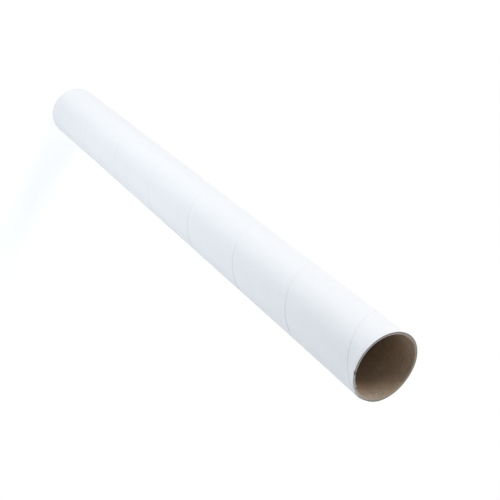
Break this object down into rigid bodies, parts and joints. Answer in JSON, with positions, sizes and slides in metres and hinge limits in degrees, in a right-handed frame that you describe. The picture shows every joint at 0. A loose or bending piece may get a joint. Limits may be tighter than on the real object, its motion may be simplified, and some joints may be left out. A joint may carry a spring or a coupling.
{
  "type": "cardboard mailing tube",
  "caption": "Straight round mailing tube of spiral-wound brown board with a white paper outer wrap, open at both ends, for posting rolled sheets.",
  "frame": {"origin": "centre of the lower cut end, on the surface that the tube stands on", "axes": "+Z along the tube to the upper open end, which is the near end in the picture; +X is the side that faces up in the picture, where the tube lies down"},
  "size_m": [0.082, 0.082, 0.85],
  "materials": {
    "kraft_board": "matte",
    "white_paper": "matte"
  },
  "bodies": {
    "root": {"tube_body": "kraft_board", "paper_wrap": "white_paper"}
  },
  "joints": []
}
